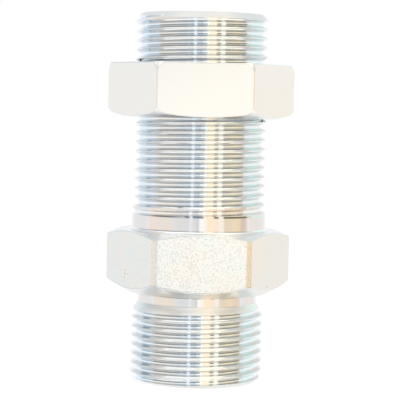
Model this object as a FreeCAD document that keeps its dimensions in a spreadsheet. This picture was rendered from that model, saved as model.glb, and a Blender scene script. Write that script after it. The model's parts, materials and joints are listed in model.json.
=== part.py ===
"""A straight male bulkhead adapter for pipe and hose: a turned body threaded at both ends, and its locknut.

The body is cut from hexagon bar. The origin is the centre of its lower end face, and +Z runs up its axis.
Lengths are millimetres and angles are degrees. Each thread is a plain cylinder of its major diameter.
"""

import FreeCAD, Part
import math
import os

import Sketcher

DOCUMENT = FreeCAD.newDocument("bulkhead_adapter")
SHEET = DOCUMENT.addObject("Spreadsheet::Sheet", "Sizes")
ROWS = iter(range(1, 1000))


class Size:
    """A length or angle: its value draws a sketch, and its expression on the sheet drives it."""

    def __init__(self, value, text):
        self.value = value
        self.text = text

    def joined(self, value, sign, other):
        right = other.text if isinstance(other, Size) else f"({other})"
        return Size(value, f"({self.text} {sign} {right})")

    def __add__(self, other):
        return self.joined(self.value + number(other), "+", other)

    def __sub__(self, other):
        return self.joined(self.value - number(other), "-", other)

    def __mul__(self, other):
        return self.joined(self.value * number(other), "*", other)

    def __truediv__(self, other):
        return self.joined(self.value / number(other), "/", other)


def number(size):
    return size.value if isinstance(size, Size) else size


def sine(angle):
    return Size(math.sin(math.radians(angle.value)), f"sin({angle.text} * 1 deg)")


def cosine(angle):
    return Size(math.cos(math.radians(angle.value)), f"cos({angle.text} * 1 deg)")


def tangent(angle):
    return Size(math.tan(math.radians(angle.value)), f"tan({angle.text} * 1 deg)")


def size(alias, value, meaning):
    """One driving dimension, on the next row of the sheet."""
    row = next(ROWS)
    SHEET.set(f"A{row}", alias)
    SHEET.set(f"B{row}", str(value))
    SHEET.set(f"C{row}", meaning)
    SHEET.setAlias(f"B{row}", alias)
    return Size(value, f"{SHEET.Name}.{alias}")


# Threads, the same at both ends
thread_diameter = size("thread_diameter", 26.44, "major diameter")
thread_depth = size("thread_depth", 1.16, "major to minor radius, which an end chamfer takes off")
thread_end_chamfer = size("thread_end_chamfer", 1.2, "height of the chamfer at each end")

# Flow bore and its seats
bore_diameter = size("bore_diameter", 16.0, "flow bore")
seat_rim = size("seat_rim", 1.56, "flat ring round the mouth of the cone seat")
seat_angle = size("seat_angle", 60.0, "whole angle of the cone seat")

# Port, below the hexagon
port_length = size("port_length", 17.6, "lower end face to hexagon")
neck_depth = size("neck_depth", 1.42, "undercut behind the port thread, below the major radius")
neck_length = size("neck_length", 2.0, "straight part of the undercut")
neck_taper_angle = size("neck_taper_angle", 30.0, "taper from undercut to thread, against the axis")

# Both hexagons fit one spanner: 32 mm across the flats on a 26.44 mm thread
flat_wall = size("flat_wall", 2.78, "metal between the thread and each flat")
across_flats = thread_diameter + flat_wall * 2

# Hexagon of the body. Each chamfer is as wide as it cuts in from the corners.
hexagon_height = size("hexagon_height", 12.3, "along the axis")
hexagon_edge_radius = size("hexagon_edge_radius", 1.2, "rounding of the bar's corners")
hexagon_lower_width = size("hexagon_lower_width", 4.48, "lower chamfer, in from the corners")
hexagon_lower_angle = size("hexagon_lower_angle", 30.0, "slope of the lower chamfer")
hexagon_upper_width = size("hexagon_upper_width", 2.68, "upper chamfer, in from the corners")
hexagon_upper_angle = size("hexagon_upper_angle", 23.0, "slope of the upper chamfer")
hexagon_crown_radius = size("hexagon_crown_radius", 0.6, "rounding from a chamfer to the corners")

# Collar and bulkhead thread, above the hexagon
collar_step = size("collar_step", 0.08, "plain collar that centres in the panel, beyond the thread")
collar_length = size("collar_length", 3.35, "along the axis")
collar_root_radius = size("collar_root_radius", 0.5, "fillet where the collar meets the hexagon")
collar_bevel = size("collar_bevel", 0.3, "height of the bevel from collar to thread")
barrel_length = size("barrel_length", 39.2, "bulkhead thread, collar to upper end face")

# Locknut
nut_height = size("nut_height", 10.6, "along the axis")
nut_edge_radius = size("nut_edge_radius", 0.4, "rounding of the upright corners")
nut_lower_width = size("nut_lower_width", 3.38, "lower chamfer, in from the corners")
nut_lower_angle = size("nut_lower_angle", 27.0, "slope of the lower chamfer")
nut_lower_crown_radius = size("nut_lower_crown_radius", 1.5, "rounding from lower chamfer to corners")
nut_upper_width = size("nut_upper_width", 0.52, "upper chamfer, in from the corners")
nut_upper_angle = size("nut_upper_angle", 72.0, "slope of the upper chamfer")
nut_upper_crown_radius = size("nut_upper_crown_radius", 3.0, "rounding from upper chamfer to corners")
nut_clearance = size("nut_clearance", 0.05, "radial gap between the nut's bore and the thread")
nut_mouth_chamfer = size("nut_mouth_chamfer", 0.6, "countersink at both faces of the nut")
nut_standoff = size("nut_standoff", 18.83, "collar up to the nut")

# Radii that follow
axis = Size(0.0, "0")
thread = thread_diameter / 2
thread_root = thread - thread_depth
collar = thread + collar_step
corner_reach = across_flats / 2 / cosine(Size(30.0, "30"))

# Heights that follow
ground = Size(0.0, "0")
hexagon_middle = port_length + hexagon_height / 2
hexagon_top = port_length + hexagon_height
collar_top = hexagon_top + collar_length
upper_end = collar_top + barrel_length
nut_bottom = collar_top + nut_standoff
nut_top = nut_bottom + nut_height

# How far a cutting outline reaches past the corners of a hexagon
cutter_reach = size("cutter_reach", 3.0, "cutting outlines, past the corners")


def origin_plane(body, role):
    return next(plane for plane in body.Origin.OriginFeatures if plane.Role == role)


def new_sketch(body, name, role):
    sketch = body.newObject("Sketcher::SketchObject", name)
    sketch.AttachmentSupport = (origin_plane(body, role), [""])
    sketch.MapMode = "FlatFace"
    return sketch


def dimension(sketch, kind, where, length):
    """One dimension of a sketch, driven by the sheet."""
    index = sketch.addConstraint(Sketcher.Constraint(kind, *where, length.value))
    sketch.setExpression(f"Constraints[{index}]", length.text)


def draw_outline(sketch, corners, rounds=None):
    """A closed outline of lines through (radius, height) corners.

    rounds gives, by the number of the corner where it starts, the radius of a short arc that takes a line's
    place. It bulges to the right of its way.
    """
    rounds = rounds or {}
    spots = [FreeCAD.Vector(radius.value, height.value, 0) for radius, height in corners]
    for i, start in enumerate(spots):
        end = spots[(i + 1) % len(spots)]
        if i in rounds:
            sketch.addGeometry(short_arc(start, end, rounds[i].value))
        else:
            sketch.addGeometry(Part.LineSegment(start, end))
    for i, (radius, height) in enumerate(corners):
        sketch.addConstraint(Sketcher.Constraint("Coincident", i - 1 if i else len(corners) - 1, 2, i, 1))
        if radius.value:
            dimension(sketch, "DistanceX", (-1, 1, i, 1), radius)
        else:
            sketch.addConstraint(Sketcher.Constraint("PointOnObject", i, 1, -2))
        if height.value:
            dimension(sketch, "DistanceY", (-1, 1, i, 1), height)
        else:
            sketch.addConstraint(Sketcher.Constraint("PointOnObject", i, 1, -1))
    for i, radius in rounds.items():
        dimension(sketch, "Radius", (i,), radius)


def short_arc(start, end, radius):
    chord = end - start
    outwards = FreeCAD.Vector(chord.y, -chord.x, 0).normalize()
    bulge = radius - math.sqrt(radius**2 - (chord.Length / 2) ** 2)
    return Part.Arc(start, (start + end) / 2 + outwards * bulge, end)


def draw_hexagon(sketch, reach):
    """A hexagon about the sketch's origin, with two corners on its X axis, each as far out as reach."""
    turns = [math.radians(60 * i) for i in range(6)]
    spots = [FreeCAD.Vector(math.cos(a), math.sin(a), 0) * reach.value for a in turns]
    for i, start in enumerate(spots):
        sketch.addGeometry(Part.LineSegment(start, spots[(i + 1) % 6]))
    circle = sketch.addGeometry(Part.Circle(FreeCAD.Vector(), FreeCAD.Vector(0, 0, 1), reach.value), True)
    sketch.addConstraint(Sketcher.Constraint("Coincident", circle, 3, -1, 1))
    dimension(sketch, "Radius", (circle,), reach)
    for i in range(6):
        sketch.addConstraint(Sketcher.Constraint("Coincident", i, 2, (i + 1) % 6, 1))
        sketch.addConstraint(Sketcher.Constraint("PointOnObject", i, 1, circle))
    for i in range(1, 6):
        sketch.addConstraint(Sketcher.Constraint("Equal", 0, i))
    sketch.addConstraint(Sketcher.Constraint("PointOnObject", 0, 1, -1))


def add_hexagon(body, name, bottom, height, edge_radius):
    """Hexagon bar with rounded corners, cut to a height."""
    sketch = new_sketch(body, f"{name}_outline", "XY_Plane")
    sketch.setExpression("AttachmentOffset.Base.z", bottom.text)
    draw_hexagon(sketch, corner_reach)
    pad = body.newObject("PartDesign::Pad", f"{name}_bar")
    pad.Profile = sketch
    pad.setExpression("Length", height.text)
    DOCUMENT.recompute()
    add_fillet(body, f"{name}_edges", pad, is_upright, edge_radius)


def is_upright(edge):
    first, last = edge.Vertexes[0].Point, edge.Vertexes[-1].Point
    return abs(first.x - last.x) < 1e-6 and abs(first.y - last.y) < 1e-6 and abs(first.z - last.z) > 1e-6


def add_fillet(body, name, base, wanted, radius):
    """Round the edges of the base feature that the test picks."""
    fillet = body.newObject("PartDesign::Fillet", name)
    edges = [f"Edge{i}" for i, edge in enumerate(base.Shape.Edges, 1) if wanted(edge)]
    fillet.Base = (base, edges)
    fillet.setExpression("Radius", radius.text)
    DOCUMENT.recompute()


def turn(body, kind, name, corners, rounds=None):
    """Revolve an outline in the XZ plane about the axis: a Revolution adds metal, and a Groove cuts it."""
    sketch = new_sketch(body, f"{name}_outline", "XZ_Plane")
    draw_outline(sketch, corners, rounds)
    feature = body.newObject(f"PartDesign::{kind}", name)
    feature.Profile = sketch
    feature.ReferenceAxis = (sketch, ["V_Axis"])
    feature.Angle = 360
    DOCUMENT.recompute()
    return feature


def cut_crown(body, name, face, width, angle, crown_radius, upper):
    """Chamfer a face of a hexagon: a cone from a circle on the face, rounded into the corners.

    A lower face's outline runs anticlockwise from that circle. An upper one is its mirror image, so it is
    listed backwards to bulge the same way.
    """
    run = crown_radius * tangent((angle - 90) / -2)
    drop = width * tangent(angle)
    depths = [
        (corner_reach - width, ground),
        (corner_reach - run * cosine(angle), drop - run * sine(angle)),
        (corner_reach, drop + run),
        (corner_reach + cutter_reach, drop + run),
        (corner_reach + cutter_reach, ground),
    ]
    if upper:
        corners = [(radius, face - depth) for radius, depth in reversed(depths)]
        turn(body, "Groove", name, corners, {2: crown_radius})
    else:
        corners = [(radius, face + depth) for radius, depth in depths]
        turn(body, "Groove", name, corners, {1: crown_radius})


def adapter_body():
    body = DOCUMENT.addObject("PartDesign::Body", "adapter_body")
    add_hexagon(body, "hexagon", port_length, hexagon_height, hexagon_edge_radius)
    cut_crown(
        body, "lower_crown", port_length,
        hexagon_lower_width, hexagon_lower_angle, hexagon_crown_radius, upper=False,
    )
    cut_crown(
        body, "upper_crown", hexagon_top,
        hexagon_upper_width, hexagon_upper_angle, hexagon_crown_radius, upper=True,
    )
    neck = thread - neck_depth
    neck_bottom = port_length - neck_length
    taper_bottom = neck_bottom - neck_depth / tangent(neck_taper_angle)
    turned = turn(body, "Revolution", "turned_form", [
        (axis, ground),
        (thread_root, ground),
        (thread, thread_end_chamfer),
        (thread, taper_bottom),
        (neck, neck_bottom),
        (neck, hexagon_middle),
        (collar, hexagon_middle),
        (collar, collar_top - collar_bevel),
        (thread, collar_top),
        (thread, upper_end - thread_end_chamfer),
        (thread_root, upper_end),
        (axis, upper_end),
    ])
    add_fillet(body, "collar_root", turned, is_collar_root, collar_root_radius)
    bore = bore_diameter / 2
    seat_mouth = thread_root - seat_rim
    seat_depth = (seat_mouth - bore) / tangent(seat_angle / 2)
    turn(body, "Groove", "flow_bore", [
        (axis, ground),
        (seat_mouth, ground),
        (bore, seat_depth),
        (bore, upper_end - seat_depth),
        (seat_mouth, upper_end),
        (axis, upper_end),
    ])
    return body


def is_collar_root(edge):
    """The circle where the collar stands on the hexagon."""
    return (
        isinstance(edge.Curve, Part.Circle)
        and abs(edge.Curve.Radius - collar.value) < 1e-4
        and abs(edge.Curve.Center.z - hexagon_top.value) < 1e-4
    )


def locknut():
    body = DOCUMENT.addObject("PartDesign::Body", "locknut")
    add_hexagon(body, "nut", nut_bottom, nut_height, nut_edge_radius)
    cut_crown(
        body, "nut_lower_crown", nut_bottom,
        nut_lower_width, nut_lower_angle, nut_lower_crown_radius, upper=False,
    )
    cut_crown(
        body, "nut_upper_crown", nut_top,
        nut_upper_width, nut_upper_angle, nut_upper_crown_radius, upper=True,
    )
    hole = thread + nut_clearance
    mouth = hole + nut_mouth_chamfer
    turn(body, "Groove", "nut_hole", [
        (axis, nut_bottom),
        (mouth, nut_bottom),
        (hole, nut_bottom + nut_mouth_chamfer),
        (hole, nut_top - nut_mouth_chamfer),
        (mouth, nut_top),
        (axis, nut_top),
    ])
    return body


def check_document():
    failed = [o.Name for o in DOCUMENT.Objects if {"Invalid", "Error"} & set(o.State)]
    if failed:
        raise RuntimeError(f"these objects failed: {failed}")
    loose = [o.Name for o in DOCUMENT.Objects if o.isDerivedFrom("Sketcher::SketchObject") and o.solve() != 0]
    if loose:
        raise RuntimeError(f"these sketches have no solution: {loose}")


def write_parts(bodies):
    for body in bodies:
        if body.Shape.isNull() or not body.Shape.isValid() or len(body.Shape.Solids) != 1:
            raise RuntimeError(f"{body.Label} isn't one valid solid")
    os.makedirs("parts", exist_ok=True)
    for body in bodies:
        body.Shape.exportStep(f"parts/{body.Label}.step")
        box = body.Shape.BoundBox
        print(f"{body.Label}: {box.XLength:.2f} x {box.YLength:.2f} x {box.ZLength:.2f} mm, "
              f"{body.Shape.Volume:.1f} mm3, z {box.ZMin:.2f} to {box.ZMax:.2f}")


pieces = [adapter_body(), locknut()]
DOCUMENT.recompute()
check_document()
write_parts(pieces)
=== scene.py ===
"""Looks of a zinc-plated bulkhead adapter and its locknut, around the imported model.

The body is hexagon bar, turned and threaded at both ends. The nut runs on the long thread. Both threads are
cut by one node tree, so that they mesh. Sizes are millimetres and angles are degrees unless a name says
otherwise.
"""

import json
import math

import bmesh
import bpy
import numpy as np
from mathutils import Matrix, Vector


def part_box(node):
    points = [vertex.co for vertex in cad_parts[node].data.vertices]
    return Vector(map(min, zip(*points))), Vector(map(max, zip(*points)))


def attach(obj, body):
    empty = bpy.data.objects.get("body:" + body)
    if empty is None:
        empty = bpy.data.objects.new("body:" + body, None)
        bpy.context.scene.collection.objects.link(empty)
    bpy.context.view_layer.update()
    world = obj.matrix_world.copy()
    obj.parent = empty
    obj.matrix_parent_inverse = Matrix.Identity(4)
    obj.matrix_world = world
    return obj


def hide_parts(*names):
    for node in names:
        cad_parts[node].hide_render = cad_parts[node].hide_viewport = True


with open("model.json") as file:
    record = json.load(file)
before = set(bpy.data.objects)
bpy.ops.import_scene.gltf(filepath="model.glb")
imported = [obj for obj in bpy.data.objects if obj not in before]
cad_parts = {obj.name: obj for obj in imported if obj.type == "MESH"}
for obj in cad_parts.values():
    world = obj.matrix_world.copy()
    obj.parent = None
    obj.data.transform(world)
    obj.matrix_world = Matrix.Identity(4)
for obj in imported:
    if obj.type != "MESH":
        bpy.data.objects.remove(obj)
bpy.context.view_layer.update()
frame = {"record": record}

MM = 0.001
PHOTO_SIDE = 400

# One flat of the hexagon and half a corner on each side of it
SECTOR = 60
HALF_SECTOR = math.radians(SECTOR / 2)

# Sizes that the frame gives
mounts = {mount["name"]: mount for mount in frame["record"]["mounts"]}
body_low, body_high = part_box("adapter_body")
nut_low, nut_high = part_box("locknut")
UPPER_END = body_high.z / MM
ACROSS_FLATS = (body_high.y - body_low.y) / MM
HEXAGON_TOP = mounts["panel_face"]["pos_m"][2] / MM
NUT_BOTTOM = nut_low.z / MM
NUT_TOP = nut_high.z / MM
THREAD_RADIUS = mounts["port_thread"]["dims"]["r_mm"]
BORE_RADIUS = mounts["flow_bore"]["dims"]["r_mm"]
CORNER_REACH = ACROSS_FLATS / 2 / math.cos(HALF_SECTOR)

# Parallel pipe thread, 14 turns to the inch, with its 55 degree flanks and rounded crests and roots
PITCH = 25.4 / 14
FLANK_LEAN = 27.5
CREST_ROUNDING = 0.17
ROOT_ROUNDING = 0.13
ROOT_FLAT = 0.42
CREST_RADIUS = THREAD_RADIUS - 0.045
CREST_HEIGHT = 0.763
PORT_CREST_HEIGHT = 0.58
NUT_THREAD_GAP = 0.05
ROOT_RADIUS = 12.06

# Where the long thread's groove gets shallow: up from the collar's top, and down from the upper end
RUN_OUT = 1.55
LEAD_IN = 1.2

# The same in the nut, in from its faces, so that it clears the body's thread at both ends of its travel
NUT_RUN_OUT = 1.0
NUT_LEAD_IN = 0.6
NUT_GROOVE_LIMIT = THREAD_RADIUS + 0.3

# Turned form of the body
HEXAGON_BOTTOM = 17.6
END_CHAMFER = 1.2
SEAT_MOUTH = 10.5
SEAT_ANGLE = 60
SEAT_DEPTH = (SEAT_MOUTH - BORE_RADIUS) / math.tan(math.radians(SEAT_ANGLE / 2))
NECK_RADIUS = 11.8
NECK_BOTTOM = 15.6
NECK_FILLET = 0.25
TAPER_BOTTOM = 13.14
COLLAR_RADIUS = 13.3
COLLAR_TOP = 33.25
COLLAR_BEVEL = 0.3
COLLAR_FILLET = 0.5

# The nut's blank is drilled a little larger than the thread's roots, and countersunk past its crests
NUT_HOLE_GAP = 0.1
NUT_COUNTERSINK = 0.65

# Edges as plated: broken by the tool, then rounded by the zinc. The bar's own corners are nearly flat facets
EDGE = 0.12
BAR_EDGE = 1.2
NUT_BAR_EDGE = 0.25
CORNER_BULGE = 0.1

# Round the axis: samples on each flat of the bar, on each of its broken corners, and degrees off their edges
FLAT_SAMPLES = 24
CORNER_SAMPLES = 8
EDGE_HOLD = 0.25

# How a rounding is drawn: its steps, the most of a strip that it takes, and how far off its outer rings lie
ROUNDING_STEPS = 3
ROUNDING_REACH = 0.4
RING_GAP = 0.15
RING_REACH = 0.1

# The plain stretch between the two threads, and heights that are clear of the part
PLAIN_BOTTOM = NECK_BOTTOM + 1.0
PLAIN_TOP = COLLAR_TOP - 0.9
LONG_SCREW_BOTTOM = COLLAR_TOP - 2
BELOW_ALL = -5
ABOVE_ALL = 80


class Crown:
    """Chamfer of a hexagon's face: width is measured in from the corners, lean up from the face.

    The rounding is the radius between the chamfer and the corners.
    """

    def __init__(self, width, lean, rounding):
        self.width = width
        self.lean = math.radians(lean)
        self.rounding = rounding

    def depth(self, radius):
        """How far below the face the chamfer is, at each radius."""
        rim = CORNER_REACH - self.width
        run = self.rounding * math.tan((math.pi / 2 - self.lean) / 2)
        cone = (radius - rim) * math.tan(self.lean)
        inside = np.clip(radius - (CORNER_REACH - self.rounding), 0, self.rounding)
        curve = self.width * math.tan(self.lean) + run - np.sqrt(self.rounding**2 - inside**2)
        return np.where(radius < CORNER_REACH - run * math.cos(self.lean), np.maximum(cone, 0), curve)


BODY_LOWER_CROWN = Crown(4.48, 30, 0.6)
BODY_UPPER_CROWN = Crown(2.68, 23, 0.6)
NUT_LOWER_CROWN = Crown(3.2, 18, 1.5)
NUT_UPPER_CROWN = Crown(0.52, 72, 3.0)


class Wire:
    """A value that comes out of a node. Arithmetic on it adds Math nodes."""

    def __init__(self, board, socket):
        self.board = board
        self.socket = socket

    def math(self, operation, *values):
        return self.board.add("ShaderNodeMath", {"operation": operation}, dict(enumerate((self, *values))))

    def __add__(self, other):
        return self.math("ADD", other)

    def __radd__(self, other):
        return self.math("ADD", other)

    def __sub__(self, other):
        return self.math("SUBTRACT", other)

    def __rsub__(self, other):
        return self.math("MULTIPLY_ADD", -1.0, other)

    def __mul__(self, other):
        return self.math("MULTIPLY", other)

    def __rmul__(self, other):
        return self.math("MULTIPLY", other)

    def __truediv__(self, other):
        return self.math("DIVIDE", other)

    def __gt__(self, other):
        return self.math("GREATER_THAN", other)

    def __abs__(self):
        return self.math("ABSOLUTE")

    def other(self, name):
        """Another output of the same node."""
        return Wire(self.board, self.socket.node.outputs[name])

    def clipped(self):
        """Held between 0 and 1."""
        return self.math("MINIMUM", 1.0).math("MAXIMUM", 0.0)

    def rise(self, low, high):
        """A smooth step from 0 at low to 1 at high."""
        sockets = {"Value": self, "From Min": low, "From Max": high}
        return self.board.add("ShaderNodeMapRange", {"interpolation_type": "SMOOTHSTEP"}, sockets)


class Board:
    """A node tree, and the one way that nodes get onto it."""

    def __init__(self, tree):
        self.tree = tree

    def add(self, kind, settings=None, sockets=None, out=0):
        """A node with its settings, then its sockets by name or number. Gives the wire of one output."""
        node = self.tree.nodes.new(kind)
        for name, value in (settings or {}).items():
            setattr(node, name, value)
        for name, value in (sockets or {}).items():
            for part in value if isinstance(value, list) else [value]:
                if isinstance(part, Wire):
                    self.tree.links.new(part.socket, node.inputs[name])
                else:
                    node.inputs[name].default_value = part
        return Wire(self, node.outputs[out]) if node.outputs else node

    def inputs(self, sockets):
        """Named inputs of a group, each with its type. Gives their wires by name."""
        for name, kind in sockets.items():
            self.tree.interface.new_socket(name, in_out="INPUT", socket_type=f"NodeSocket{kind}")
        node = self.tree.nodes.new("NodeGroupInput")
        return {name: Wire(self, node.outputs[name]) for name in sockets}

    def xyz(self, x, y, z):
        return self.add("ShaderNodeCombineXYZ", None, {0: x, 1: y, 2: z})

    def axes(self, vector):
        """The X, Y and Z of a vector."""
        first = self.add("ShaderNodeSeparateXYZ", None, {0: vector})
        return [first.other(name) for name in "XYZ"]

    def mix(self, share, first, second):
        """Colour that goes from the first to the second."""
        return self.add("ShaderNodeMix", {"data_type": "RGBA"}, {0: share, 6: first, 7: second}, out=2)


# Geometry of the bar and of what is turned on it


def flat_half_angle(edge):
    """From the middle of a flat to its edge, for corners broken by that edge."""
    return math.atan(math.tan(HALF_SECTOR) * (1 - edge / (ACROSS_FLATS / 2)))


def bar_angles(edge):
    """Angles round the axis. Some lie close to each edge of a flat, which keeps its shading flat."""
    tangent = math.degrees(flat_half_angle(edge))
    flat = np.linspace(EDGE_HOLD - tangent, tangent - EDGE_HOLD, FLAT_SAMPLES)
    corner = np.linspace(tangent + EDGE_HOLD, SECTOR - tangent - EDGE_HOLD, CORNER_SAMPLES)
    sector = np.concatenate([[-tangent], flat, [tangent], corner]) + SECTOR / 2
    return np.radians(np.concatenate([sector + SECTOR * turn for turn in range(6)]))


def bar_side(angles, edge):
    """Distance from the axis to the side of the hexagon bar. Its corners lie on +X and -X.

    The corners are broken to narrow facets, a little rounded, that fill the place of a fillet of the edge's
    radius.
    """
    across = np.radians((np.degrees(angles) % SECTOR) - SECTOR / 2)
    half = ACROSS_FLATS / 2
    flat = half / np.cos(across)
    centre = (half - edge) / math.cos(HALF_SECTOR)
    from_corner = HALF_SECTOR - np.abs(across)
    reach = np.clip(edge**2 - (centre * np.sin(from_corner)) ** 2, 0, None)
    rounded = centre * np.cos(from_corner) + np.sqrt(reach)
    facet = (CORNER_REACH - edge * math.tan(HALF_SECTOR) / 2) / np.cos(from_corner)
    corner = CORNER_BULGE * rounded + (1 - CORNER_BULGE) * facet
    return np.where(np.abs(across) <= flat_half_angle(edge) + 1e-9, flat, corner)


def crown_rings(face, upwards, crown, side, finish):
    """Corners of the outline over a crowned face, from its rim out to the bar's flats."""
    rim = np.minimum(CORNER_REACH - crown.width, side - EDGE)
    rings = []
    for share in (0, 0.2, 0.4, 0.6, 0.8, 1):
        radius = rim + (side - rim) * share
        corner = np.clip(radius - (side - EDGE), 0, EDGE)
        depth = np.maximum(crown.depth(radius), EDGE - np.sqrt(EDGE**2 - corner**2))
        rings.append((radius, face + upwards * depth, EDGE if share in (0, 1) else 0, finish))
    return rings


def softened(outline, count):
    """Rings of a closed outline whose corners are rounded, each with the finish of the strip that follows it.

    A corner is (radius, height, rounding, finish), and radius and height may vary round the axis. A ring just
    outside each rounding keeps the faces beside it flat in their shading.
    """
    even = np.ones(count)
    spots = [np.stack([radius * even, height * even], axis=1) for radius, height, _, _ in outline]
    rings = []
    for i, (_, _, rounding, finish) in enumerate(outline):
        spot = spots[i]
        last_finish = outline[i - 1][3]
        if not rounding:
            rings.append((spot, finish))
            continue
        back, on = spots[i - 1] - spot, spots[(i + 1) % len(spots)] - spot
        back_length, on_length = (np.linalg.norm(way, axis=1, keepdims=True) + 1e-9 for way in (back, on))
        back, on = back / back_length, on / on_length
        turn = np.pi - np.arccos(np.clip((back * on).sum(axis=1, keepdims=True), -1, 1))
        cut = np.minimum(rounding * np.tan(turn / 2), ROUNDING_REACH * np.minimum(back_length, on_length))
        start, end = spot + back * cut, spot + on * cut
        rings.append((start + back * np.minimum(RING_GAP, RING_REACH * back_length), last_finish))
        for share in np.linspace(0, 1, ROUNDING_STEPS + 1):
            curve = (1 - share) ** 2 * start + 2 * share * (1 - share) * spot + share**2 * end
            rings.append((curve, finish if share == 1 else last_finish))
        rings.append((end + on * np.minimum(RING_GAP, RING_REACH * on_length), finish))
    return rings


def turned_mesh(name, outline, angles, finishes):
    """A closed mesh swept round the axis from an outline, with a material for each finish."""
    rings = softened(outline, len(angles))
    around = np.stack([np.cos(angles), np.sin(angles)], axis=1)
    points = [np.column_stack([around * spot[:, :1], spot[:, 1]]) for spot, _ in rings]
    count = len(angles)
    faces = []
    slots = []
    for i, (_, finish) in enumerate(rings):
        first, second = i * count, (i + 1) % len(rings) * count
        for j in range(count):
            k = (j + 1) % count
            faces.append((first + j, first + k, second + k, second + j))
        slots += [list(finishes).index(finish)] * count
    mesh = bpy.data.meshes.new(name)
    mesh.from_pydata((np.concatenate(points) * MM).tolist(), [], faces)
    for material in finishes.values():
        mesh.materials.append(material)
    mesh.polygons.foreach_set("material_index", slots)
    shell = bmesh.new()
    shell.from_mesh(mesh)
    bmesh.ops.remove_doubles(shell, verts=shell.verts, dist=1e-7)
    bmesh.ops.recalc_face_normals(shell, faces=shell.faces)
    shell.to_mesh(mesh)
    shell.free()
    return mesh


def body_outline(side):
    """Once round half the body's section: up its outside, and down its bore."""
    return [
        (NECK_RADIUS, HEXAGON_BOTTOM, NECK_FILLET, "turned"),
        *crown_rings(HEXAGON_BOTTOM, 1, BODY_LOWER_CROWN, side, "faced")[:-1],
        (side, HEXAGON_BOTTOM + BODY_LOWER_CROWN.depth(side), EDGE, "drawn"),
        (side, HEXAGON_TOP - BODY_UPPER_CROWN.depth(side), EDGE, "faced"),
        *crown_rings(HEXAGON_TOP, -1, BODY_UPPER_CROWN, side, "faced")[-2::-1],
        (COLLAR_RADIUS, HEXAGON_TOP, COLLAR_FILLET, "turned"),
        (COLLAR_RADIUS, COLLAR_TOP - COLLAR_BEVEL, EDGE, "turned"),
        (THREAD_RADIUS, COLLAR_TOP, 0, "turned"),
        (THREAD_RADIUS, UPPER_END - END_CHAMFER, 0, "faced"),
        (ROOT_RADIUS, UPPER_END, EDGE, "turned"),
        (SEAT_MOUTH, UPPER_END, EDGE, "bored"),
        (BORE_RADIUS, UPPER_END - SEAT_DEPTH, EDGE, "bored"),
        (BORE_RADIUS, SEAT_DEPTH, EDGE, "bored"),
        (SEAT_MOUTH, 0, EDGE, "turned"),
        (ROOT_RADIUS, 0, EDGE, "faced"),
        (THREAD_RADIUS, END_CHAMFER, 0, "turned"),
        (THREAD_RADIUS, TAPER_BOTTOM, 0, "tapered"),
        (NECK_RADIUS, NECK_BOTTOM, NECK_FILLET, "turned"),
    ]


def nut_outline(side):
    """Once round half the nut's section: up its outside, and down its hole."""
    hole = ROOT_RADIUS + NUT_HOLE_GAP
    mouth = THREAD_RADIUS + NUT_COUNTERSINK
    return [
        (hole, NUT_BOTTOM + mouth - hole, 0, "turned"),
        (mouth, NUT_BOTTOM, EDGE, "turned"),
        *crown_rings(NUT_BOTTOM, 1, NUT_LOWER_CROWN, side, "faced")[:-1],
        (side, NUT_BOTTOM + NUT_LOWER_CROWN.depth(side), EDGE, "satin"),
        *crown_rings(NUT_TOP, -1, NUT_UPPER_CROWN, side, "faced")[::-1],
        (mouth, NUT_TOP, EDGE, "turned"),
        (hole, NUT_TOP - (mouth - hole), 0, "turned"),
    ]


# The screw thread

KEPT_RADIUS = 0.03
WELD = 1e-6
SHARP_EDGE = math.radians(35)
THREAD_INPUTS = {
    "Blank": "Geometry", "In a Nut": "Bool", "Start Height": "Float", "Turns": "Int", "Pitch": "Float",
    "Crest Radius": "Float", "Crest Rounding": "Float", "Root Rounding": "Float", "Root Flat": "Float",
    "Flank Lean": "Float", "Segments per Turn": "Int", "Arc Steps": "Int", "Flank Steps": "Int",
    "Run-out Height": "Float", "Run-out Length": "Float", "Run-out Lift": "Float",
    "Lead-in Height": "Float", "Lead-in Length": "Float", "Radius Limit": "Float",
    "Kept Bottom": "Float", "Kept Top": "Float",
}


def thread_section(size, across, half_steps):
    """The thread's section from the middle of a crest to the middle of a root, half a pitch away.

    It goes over half the crest's arc, the flank, the root's arc and half the root's flat. Gives each point's
    distance from the crest along the axis, its drop below the crest, and its share of the painted shade on
    the flank.
    """
    crest_rounding = size["Crest Rounding"]
    root_rounding = size["Root Rounding"]
    root_flat = size["Root Flat"]
    arc_steps = size["Arc Steps"]
    flank_steps = size["Flank Steps"]
    step = abs(2.0 * across) * half_steps
    full_turn = (90.0 - size["Flank Lean"]).math("RADIANS")
    crest_turn = (step / arc_steps).clipped() * full_turn
    on_flank = ((step - arc_steps) / flank_steps).clipped()
    root_turn = (1 - (step - arc_steps - flank_steps) / arc_steps).clipped() * full_turn
    on_flat = (step - half_steps + 1).clipped()

    root_width = root_rounding * full_turn.math("SINE")
    flank_width = (size["Pitch"] - root_flat) / 2 - root_width - crest_rounding * full_turn.math("SINE")
    width = crest_rounding * crest_turn.math("SINE") + flank_width * on_flank
    width = width + root_width - root_rounding * root_turn.math("SINE") + root_flat / 2 * on_flat

    flank_drop = flank_width * full_turn.math("TANGENT")
    drop = crest_rounding * (1 - crest_turn.math("COSINE")) + flank_drop * on_flank
    drop = drop + root_rounding * (root_turn.math("COSINE") - full_turn.math("COSINE"))

    # Painted shade: 1 in the middle of the flank, fading to 0 towards its crest and its root
    flank_shade_share = 1 - abs(2.0 * (step - arc_steps) / flank_steps - 1).rise(0.7, 1.4)
    return width, drop, flank_shade_share


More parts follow.
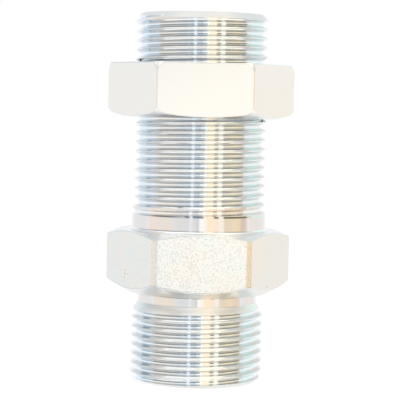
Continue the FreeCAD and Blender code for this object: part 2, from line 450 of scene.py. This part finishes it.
def wound_up(board, size, along, across, width, drop):
    """Where each point of the strip goes, on its way round and up the axis.

    The groove gets shallow where it runs out of the metal and where it leads in. The radius limit keeps the
    screw, which is lifted there, from cutting a nut deeper than its thread.
    """
    turn = along + size["Turns"] / 2
    side = across.math("SIGN")
    height = size["Start Height"] + size["Pitch"] * turn + width * side
    root_height = size["Start Height"] + size["Pitch"] * (turn + side / 2)
    run_out = ((size["Run-out Height"] - root_height) / size["Run-out Length"]).clipped()
    lead_in = ((root_height - size["Lead-in Height"]) / size["Lead-in Length"]).clipped()
    radius = size["Crest Radius"] - drop + size["Run-out Lift"] * (run_out + lead_in)
    radius = radius.math("MINIMUM", size["Radius Limit"])
    angle = turn * math.tau
    return board.xyz(radius * angle.math("COSINE"), radius * angle.math("SINE"), height)


def with_closed_ends(board, size, screw):
    """The open edge at each end of the screw is drawn to a point on the axis, a pitch further on."""
    sides = board.add("GeometryNodeInputMeshEdgeNeighbors")
    open_edge = board.add("FunctionNodeCompare", {"data_type": "INT", "operation": "EQUAL"}, {2: sides, 3: 1})
    drawn = board.add("GeometryNodeExtrudeMesh", {"mode": "EDGES"}, {
        "Mesh": screw, "Selection": open_edge, "Offset Scale": 0.0,
    })
    level = board.axes(board.add("GeometryNodeInputPosition"))[2]
    length = size["Pitch"] * size["Turns"]
    is_upper = level > size["Start Height"] + length / 2
    tip = size["Start Height"] - size["Pitch"] + (length + 2 * size["Pitch"]) * is_upper
    drawn = board.add("GeometryNodeSetPosition", None, {
        "Geometry": drawn, "Selection": drawn.other("Top"), "Position": board.xyz(0.0, 0.0, tip),
    })
    return board.add("GeometryNodeMergeByDistance", None, {"Geometry": drawn, "Distance": WELD})


def cut_from_blank(board, size, screw, finish):
    """The blank with its thread.

    On a shaft it keeps what lies in the screw or in the Kept cylinder, which covers the plain stretch. In a
    nut the screw is taken out of it.
    """
    kept_length = size["Kept Top"] - size["Kept Bottom"]
    kept = board.add("GeometryNodeMeshCylinder", None, {
        "Vertices": 64, "Radius": KEPT_RADIUS, "Depth": kept_length,
    })
    lifted = board.xyz(0.0, 0.0, size["Kept Bottom"] + kept_length / 2)
    kept = board.add("GeometryNodeTransform", None, {"Geometry": kept, "Translation": lifted})
    kept = board.add("GeometryNodeSetMaterial", None, {"Geometry": kept, "Material": finish})
    boolean = "GeometryNodeMeshBoolean"
    kept = board.add(boolean, {"operation": "UNION", "solver": "MANIFOLD"}, {"Mesh 2": [screw, kept]})
    on_shaft = board.add(boolean, {"operation": "INTERSECT", "solver": "MANIFOLD"}, {
        "Mesh 2": [size["Blank"], kept],
    })
    in_nut = board.add(boolean, {"operation": "DIFFERENCE", "solver": "MANIFOLD"}, {
        "Mesh 1": size["Blank"], "Mesh 2": screw,
    })
    return board.add("GeometryNodeSwitch", {"input_type": "GEOMETRY"}, {
        "Switch": size["In a Nut"], "False": on_shaft, "True": in_nut,
    })


def with_sharp_edges(board, piece):
    """Smooth shading, but for the edges."""
    piece = board.add("GeometryNodeSetShadeSmooth", {"domain": "FACE"}, {"Geometry": piece})
    bend = board.add("GeometryNodeInputMeshEdgeAngle")
    return board.add("GeometryNodeSetShadeSmooth", {"domain": "EDGE"}, {
        "Geometry": piece, "Selection": bend > SHARP_EDGE, "Shade Smooth": False,
    })


def thread_tree(finish):
    """Cuts a screw thread by a rule: a strip one pitch wide is wound up the axis and welded to itself."""
    board = Board(bpy.data.node_groups.new("screw_thread", "GeometryNodeTree"))
    size = board.inputs(THREAD_INPUTS)
    half_steps = 2 * size["Arc Steps"] + size["Flank Steps"] + 1
    strip = board.add("GeometryNodeMeshGrid", None, {
        "Size X": size["Turns"], "Size Y": 1.0,
        "Vertices X": size["Turns"] * size["Segments per Turn"] + 1, "Vertices Y": 2 * half_steps + 1,
    })
    along, across, _ = board.axes(board.add("GeometryNodeInputPosition"))
    width, drop, flank_shade_share = thread_section(size, across, half_steps)
    # The flank's share of painted shade, kept for the thread's material
    strip = board.add("GeometryNodeStoreNamedAttribute", {"data_type": "FLOAT", "domain": "POINT"}, {
        "Geometry": strip, "Name": "flank", "Value": flank_shade_share,
    })
    screw = board.add("GeometryNodeSetPosition", None, {
        "Geometry": strip, "Position": wound_up(board, size, along, across, width, drop),
    })
    screw = board.add("GeometryNodeMergeByDistance", None, {"Geometry": screw, "Distance": WELD})
    screw = with_closed_ends(board, size, screw)
    screw = board.add("GeometryNodeStoreNamedAttribute", {"data_type": "BOOLEAN", "domain": "FACE"}, {
        "Geometry": screw, "Name": "is_thread", "Value": True,
    })
    screw = board.add("GeometryNodeSetMaterial", None, {"Geometry": screw, "Material": finish})
    cut = with_sharp_edges(board, cut_from_blank(board, size, screw, finish))
    cut = board.add("GeometryNodeRealizeInstances", None, {"Geometry": cut})
    is_thread = board.add("GeometryNodeInputNamedAttribute", {"data_type": "BOOLEAN"}, {"Name": "is_thread"})
    cut = board.add("GeometryNodeSetMaterial", None, {
        "Geometry": cut, "Selection": is_thread, "Material": finish,
    })
    board.tree.interface.new_socket("Threaded", in_out="OUTPUT", socket_type="NodeSocketGeometry")
    board.add("NodeGroupOutput", None, {0: cut})
    return board.tree


# What a thread has unless a piece says otherwise: full depth throughout, and next to nothing kept
THREAD_COUNTS = {"In a Nut": False, "Segments per Turn": 144, "Arc Steps": 3, "Flank Steps": 2}
THREAD_LENGTHS = {
    "Pitch": PITCH, "Crest Radius": CREST_RADIUS, "Crest Rounding": CREST_ROUNDING,
    "Root Rounding": ROOT_ROUNDING, "Root Flat": ROOT_FLAT,
    "Run-out Height": -100, "Run-out Length": 2.4, "Run-out Lift": 1.3,
    "Lead-in Height": 200, "Lead-in Length": 0.9, "Radius Limit": 100,
    "Kept Bottom": 0, "Kept Top": 1,
}


def cut_thread(piece, tree, counts, lengths):
    """One thread on a piece, by the names of the tree's inputs. Lengths are millimetres."""
    modifier = piece.modifiers.new("thread", "NODES")
    modifier.node_group = tree
    values = {**THREAD_COUNTS, **counts, "Flank Lean": FLANK_LEAN}
    for name, value in {**THREAD_LENGTHS, **lengths}.items():
        values[name] = value * MM
    inputs = {item.name: item.identifier for item in tree.interface.items_tree if item.in_out == "INPUT"}
    for name, value in values.items():
        modifier[inputs[name]] = value


def crest_below(height):
    """The highest crest on the +X side that is no higher than this."""
    return CREST_HEIGHT + math.floor((height - CREST_HEIGHT) / PITCH) * PITCH


def finished(name, mesh, threads, tree):
    """A plain mesh object from a blank with its threads cut."""
    blank = bpy.data.objects.new(f"{name}_blank", mesh)
    bpy.context.scene.collection.objects.link(blank)
    for counts, lengths in threads:
        cut_thread(blank, tree, counts, lengths)
    evaluated = blank.evaluated_get(bpy.context.evaluated_depsgraph_get())
    made = bpy.data.meshes.new_from_object(evaluated)
    bpy.data.objects.remove(blank)
    made.name = name
    piece = bpy.data.objects.new(name, made)
    bpy.context.scene.collection.objects.link(piece)
    return piece


# Finishes


def new_material(name):
    """A material and its board, with nothing on it."""
    material = bpy.data.materials.new(name)
    material.use_nodes = True
    material.node_tree.nodes.clear()
    return material, Board(material.node_tree)


def new_finish(name):
    """A material, its board, and the wire of its Object coordinates."""
    material, board = new_material(name)
    return material, board, board.add("ShaderNodeTexCoord", out=3)


def noise(board, point, scale, detail):
    """Noise of about 0 to 1, with its scale in features per millimetre."""
    return board.add("ShaderNodeTexNoise", None, {
        "Vector": point, "Scale": scale / MM, "Detail": detail, "Roughness": 0.5,
    }).rise(0.3, 0.7)


def from_axis(board, point):
    """Distance from the axis."""
    x, y, _ = board.axes(point)
    return (x * x + y * y).math("SQRT")


def tool_lines(board, point, scale):
    """Fine lines that the lathe leaves round the axis, on walls and faces alike."""
    along = board.axes(point)[2]
    return noise(board, board.xyz(from_axis(board, point), 0.0, along), scale, 3.0)


def dots(board, point, scale, low, high):
    """Dots in a loose cell pattern, 1 in the middle of each, with its scale in cells per millimetre."""
    cells = board.add("ShaderNodeTexVoronoi", None, {"Vector": point, "Scale": scale / MM})
    return 1 - cells.rise(low, high)


def near(board, point, place, size):
    """1 at a place, given in millimetres, and 0 from that size away."""
    spot = tuple(value * MM for value in place)
    away = board.add("ShaderNodeVectorMath", {"operation": "DISTANCE"}, {0: point, 1: spot}, out=1)
    return 1 - away.rise(0.6 * size * MM, size * MM)


def zinc(board, colour, roughness, height, depth, metal=1.0):
    """Bright zinc plating. The height is 0 to 1, and the depth its size in millimetres."""
    normal = board.add("ShaderNodeBump", None, {"Height": height, "Strength": 1.0, "Distance": depth * MM})
    shader = board.add("ShaderNodeBsdfPrincipled", None, {
        "Base Color": colour, "Metallic": metal, "Roughness": roughness, "Normal": normal,
    })
    board.add("ShaderNodeOutputMaterial", None, {"Surface": shader})


def passivation(board, point, colour):
    """The colour with the faint blue and pink drift of clear passivation."""
    drift = noise(board, point, 0.18, 2.0)
    cool = [share * tint for share, tint in zip(colour, (0.97, 1.0, 1.03))]
    warm = [share * tint for share, tint in zip(colour, (1.02, 0.99, 0.99))]
    return board.mix(drift, (*cool, 1), (*warm, 1))


def turned_zinc():
    """Walls as the lathe leaves them, smoother than the faces."""
    material, board, point = new_finish("zinc_turned")
    lines = tool_lines(board, point, 9)
    zinc(board, passivation(board, point, (0.8, 0.8, 0.8)), 0.05 + 0.06 * lines, lines, 0.0006)
    return material


def faced_zinc_painted_lighter():
    """Chamfers and end faces, a little duller than the walls, with a lighter colour than theirs as painted
    light.
    """
    material, board, point = new_finish("zinc_faced")
    lines = tool_lines(board, point, 6)
    # Painted light: lighter than the walls (0.92 against 0.8), which brightens faces that take less light
    zinc(board, passivation(board, point, (0.92, 0.92, 0.9)), 0.2 + 0.08 * lines, lines, 0.002)
    return material


def threaded_zinc_painted_shade():
    """Threads with painted shade: darker and bluer in their roots, and darker on their flanks, so that their
    crests look bright.
    """
    material, board, point = new_finish("zinc_threaded")
    # Painted shade: the flank's share darkens the colour there, and near the axis the roots get a darker,
    # bluer colour
    flank = board.add("ShaderNodeAttribute", {"attribute_name": "flank"}, out=2)
    root = 1 - from_axis(board, point).rise(12.3 * MM, 12.6 * MM)
    colour = board.mix(root, passivation(board, point, (0.91, 0.91, 0.9)), (0.84, 0.9, 0.95, 1))
    colour = board.mix(flank, colour, (0.76, 0.77, 0.77, 1))
    lines = tool_lines(board, point, 7)
    zinc(board, colour, 0.04 + 0.04 * lines, lines, 0.0004)
    return material


def drawn_zinc():
    """The flats of the body's bar: satin, with grain, the fine pits that pickling leaves, and two scuffs."""
    material, board, point = new_finish("zinc_drawn")
    grain = noise(board, point, 4.5, 1.0)
    pits = dots(board, point, 3.0, 0.15, 0.38)
    scuffs = near(board, point, (-14.6, -6.7, 21.2), 1.6) + near(board, point, (13.4, -9.0, 19.2), 1.0)
    specks = scuffs * dots(board, point, 1.6, 0.18, 0.4)
    colour = passivation(board, point, (0.85, 0.855, 0.83))
    colour = board.mix(0.1 * pits + 0.6 * specks, colour, (0.3, 0.31, 0.28, 1))
    zinc(board, colour, 0.13 + 0.04 * grain, grain - 2.4 * pits, 0.0025)
    return material


def satin_zinc(name, colour, roughness, depth, metal=1.0):
    """A fine even grain with no pits, shallower than on the body's flats."""
    material, board, point = new_finish(name)
    grain = noise(board, point, 4.5, 1.0)
    zinc(board, (*colour, 1), roughness + 0.04 * grain, grain, depth, metal)
    return material


# Studio

CAMERA_AZIMUTH = -2.807


def add_camera():
    """The photograph's camera, by its place before the object, its tilt and its roll."""
    distance = 326.48
    focal_pixels = 1640.38
    tilt = math.radians(3.516)
    roll = math.radians(1.263)
    aim_height = 35.70
    aside = 0.197
    turn = Matrix.Rotation(math.radians(CAMERA_AZIMUTH), 3, "Z")
    place = turn @ Vector((aside, -distance * math.cos(tilt), aim_height + distance * math.sin(tilt)))
    ahead = turn @ Vector((0, math.cos(tilt), -math.sin(tilt)))
    level = turn @ Vector((1, 0, 0))
    above = turn @ Vector((0, math.sin(tilt), math.cos(tilt)))
    across = level * math.cos(roll) + above * math.sin(roll)
    upright = above * math.cos(roll) - level * math.sin(roll)
    lens = bpy.data.cameras.new("camera")
    lens.sensor_width = 36
    lens.lens = lens.sensor_width * focal_pixels / PHOTO_SIDE
    lens.clip_start = 0.01
    camera = bpy.data.objects.new("camera", lens)
    camera.matrix_world = Matrix((across, upright, -ahead)).transposed().to_4x4()
    camera.location = place * MM
    bpy.context.scene.collection.objects.link(camera)
    bpy.context.scene.camera = camera


class Card:
    """A soft-edged card of the studio. Azimuth is from the camera's side, to the right of it.

    Height is the tangent of the elevation over the level line. Cards reach as far below that line as above.
    """

    def __init__(self, azimuths, heights, colour, soft=3, soft_height=0.02):
        self.azimuths = azimuths
        self.heights = heights
        self.colour = colour
        self.soft = soft
        self.soft_height = soft_height

    def share(self, azimuth, height):
        """How much of a direction the card fills."""
        left, right = self.azimuths
        low, high = self.heights
        soft = self.soft
        lift = self.soft_height
        across = azimuth.rise(left - soft, left + soft) * (1 - azimuth.rise(right - soft, right + soft))
        upright = 1 - height.rise(high - lift, high + lift)
        if low:
            upright = upright * height.rise(low - lift, low + lift)
        return across * upright


# A later card stands before an earlier one
CARDS = [
    # The ceiling
    Card((-200, 200), (2.4, 900), (0.92, 0.9, 0.86), 3, 0.3),

    # Cards at the sides, which tint the edges of the threads
    Card((-150, -92), (0.13, 0.45), (0.84, 0.98, 1.1), 4),
    Card((92, 150), (0.13, 0.45), (0.84, 1.08, 1.02), 4),
    Card((92, 103), (0.13, 0.45), (0.82, 0.82, 0.68), 3),

    # Soft lamps over the camera
    Card((-95, 8), (0.82, 2.4), (1.55, 1.54, 1.5), 8, 0.08),
    Card((8, 102), (0.82, 2.4), (1.75, 1.66, 1.42), 8, 0.08),

    # The dark room round the camera, which the flanks of the threads mirror
    Card((-126, -88), (0.13, 0.5), (0.42, 0.53, 0.62), 4),
    Card((-88, -26), (0.13, 0.5), (0.26, 0.25, 0.24), 2),
    Card((-26, 8), (0.13, 0.5), (0.2, 0.27, 0.32), 4),
    Card((8, 92), (0.13, 0.5), (0.24, 0.22, 0.15), 3),

    # Low walls, which the upright faces mirror
    Card((98, 150), (0, 0.09), (1.02, 0.965, 0.9)),
    Card((-150, -98), (0, 0.09), (0.975, 0.97, 0.95)),
    Card((-93, -42), (0, 0.13), (1.04, 0.94, 0.83)),
    Card((-42, 4), (0, 0.13), (0.92, 0.91, 0.89), 8),
    Card((-3, 1), (0, 0.13), (0.8, 0.8, 0.8), 1),
    Card((1, 14), (0, 0.13), (1.22, 1.2, 1.14), 2),
    Card((14, 40), (0, 0.13), (1.24, 1.02, 0.8), 2),
    Card((40, 92), (0, 0.13), (1.0, 0.85, 0.66), 2),
    Card((59, 73), (0, 0.13), (1.08, 0.87, 0.6), 3),
    Card((77, 88), (0, 0.05), (0.86, 0.7, 0.56), 2),

    # Upright strip lamps
    Card((-16, -10), (0, 0.8), (0.99, 1.01, 1.04), 1),
    Card((9, 14), (0, 0.8), (1.24, 1.15, 1.02), 1.2),
    Card((14, 27), (0, 0.8), (1.28, 1.04, 0.76), 1.5),
    Card((35, 44), (0, 0.8), (1.2, 1.1, 0.94), 1.2),
]
LEVEL = 0.06
BACKDROP = (1.02, 1.02, 1.04)
BACKDROP_ABOVE = (0.79, 0.81, 0.82)
BACKDROP_BELOW = (0.94, 0.94, 0.92)


def light_world():
    """A pale room round the object. The camera sees it white, and metal sees the cards in it.

    Their level line is a little below the horizon, where most of the upright walls mirror it.
    """
    world = bpy.data.worlds.new("studio")
    bpy.context.scene.world = world
    world.use_nodes = True
    world.node_tree.nodes.clear()
    board = Board(world.node_tree)
    way = board.add("ShaderNodeTexCoord", out=0)
    x, y, z = board.axes(way)
    azimuth = x.math("ARCTAN2", -1 * y).math("DEGREES") - CAMERA_AZIMUTH
    height = abs(z / (x * x + y * y).math("SQRT") + LEVEL)
    far = board.mix(z.rise(-0.1, 0.1), (*BACKDROP_BELOW, 1), (*BACKDROP_ABOVE, 1))
    colour = board.mix(height.rise(0.2, 0.4), (*BACKDROP, 1), far)
    for card in CARDS:
        colour = board.mix(card.share(azimuth, height), colour, (*card.colour, 1))
    seen = board.add("ShaderNodeLightPath")
    colour = board.mix(seen, colour, (1, 1, 1, 1))
    shade = board.add("ShaderNodeBackground", None, {"Color": colour, "Strength": 1.0})
    board.add("ShaderNodeOutputWorld", None, {"Surface": shade})


def floor_paper():
    """Pale paper that keeps the object's shadow. The camera sees it nearly white, and metal sees past it."""
    material, board = new_material("pale_floor")
    paper = board.add("ShaderNodeBsdfDiffuse", None, {"Color": (0.92, 0.92, 0.92, 1)})
    glow = board.add("ShaderNodeEmission", None, {"Color": (1, 1, 1, 1), "Strength": 1.1})
    both = board.add("ShaderNodeMixShader", None, {0: 0.75, 1: paper, 2: glow})
    clear = board.add("ShaderNodeBsdfTransparent")
    seen = board.add("ShaderNodeLightPath")
    shown = board.add("ShaderNodeMixShader", None, {0: seen, 1: paper, 2: both})
    shown = board.add("ShaderNodeMixShader", None, {0: seen.other("Is Glossy Ray"), 1: shown, 2: clear})
    board.add("ShaderNodeOutputMaterial", None, {"Surface": shown})
    return material


def add_floor():
    """A round sheet of the paper under the object, for the picture only."""
    mesh = bpy.data.meshes.new("floor")
    shell = bmesh.new()
    bmesh.ops.create_circle(shell, cap_ends=True, segments=96, radius=2000 * MM)
    shell.to_mesh(mesh)
    shell.free()
    mesh.materials.append(floor_paper())
    floor = bpy.data.objects.new("floor", mesh)
    bpy.context.scene.collection.objects.link(floor)


# Assembly


def add_body(tree, finishes):
    """The turned body, with the port's thread and the long one."""
    angles = bar_angles(BAR_EDGE)
    blank = turned_mesh("body_blank", body_outline(bar_side(angles, BAR_EDGE)), angles, finishes)
    port = {
        "Start Height": PORT_CREST_HEIGHT - 2 * PITCH, "Kept Bottom": PLAIN_BOTTOM, "Kept Top": ABOVE_ALL,
    }
    long = {
        "Start Height": crest_below(LONG_SCREW_BOTTOM), "Run-out Height": COLLAR_TOP + RUN_OUT,
        "Lead-in Height": UPPER_END - LEAD_IN, "Kept Bottom": BELOW_ALL, "Kept Top": PLAIN_TOP,
    }
    body = finished("threaded_body", blank, [({"Turns": 12}, port), ({"Turns": 24}, long)], tree)
    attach(body, "adapter")
    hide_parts("adapter_body")


def add_nut(tree, finishes):
    """The locknut, whose thread is the body's with a little room round it."""
    angles = bar_angles(NUT_BAR_EDGE)
    blank = turned_mesh("nut_blank", nut_outline(bar_side(angles, NUT_BAR_EDGE)), angles, finishes)
    thread = {
        "Start Height": crest_below(NUT_BOTTOM) - PITCH, "Crest Radius": CREST_RADIUS + NUT_THREAD_GAP,
        "Run-out Height": NUT_BOTTOM + NUT_RUN_OUT, "Lead-in Height": NUT_TOP - NUT_LEAD_IN,
        "Radius Limit": NUT_GROOVE_LIMIT,
    }
    nut = finished("hexagon_locknut", blank, [({"In a Nut": True, "Turns": 9}, thread)], tree)
    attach(nut, "nut")
    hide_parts("locknut")


bpy.context.scene.view_settings.view_transform = "Standard"

threaded = threaded_zinc_painted_shade()
turned = turned_zinc()
faced = faced_zinc_painted_lighter()
tree = thread_tree(threaded)
add_body(tree, {
    "turned": turned,
    "faced": faced,
    # Painted light: the taper is coloured lighter than the other walls, which brightens a face that mirrors
    # the dark underside of the hexagon
    "tapered": satin_zinc("zinc_tapered", (0.97, 0.95, 0.91), 0.36, 0.0002),
    "drawn": drawn_zinc(),
    "bored": satin_zinc("zinc_bored", (0.66, 0.66, 0.64), 0.3, 0.0008, 0.55),
    "threaded": threaded,
})
add_nut(tree, {
    "turned": turned,
    "faced": faced,
    "satin": satin_zinc("zinc_satin", (0.895, 0.885, 0.86), 0.14, 0.0008),
    "threaded": threaded,
})
add_floor()
light_world()
add_camera()
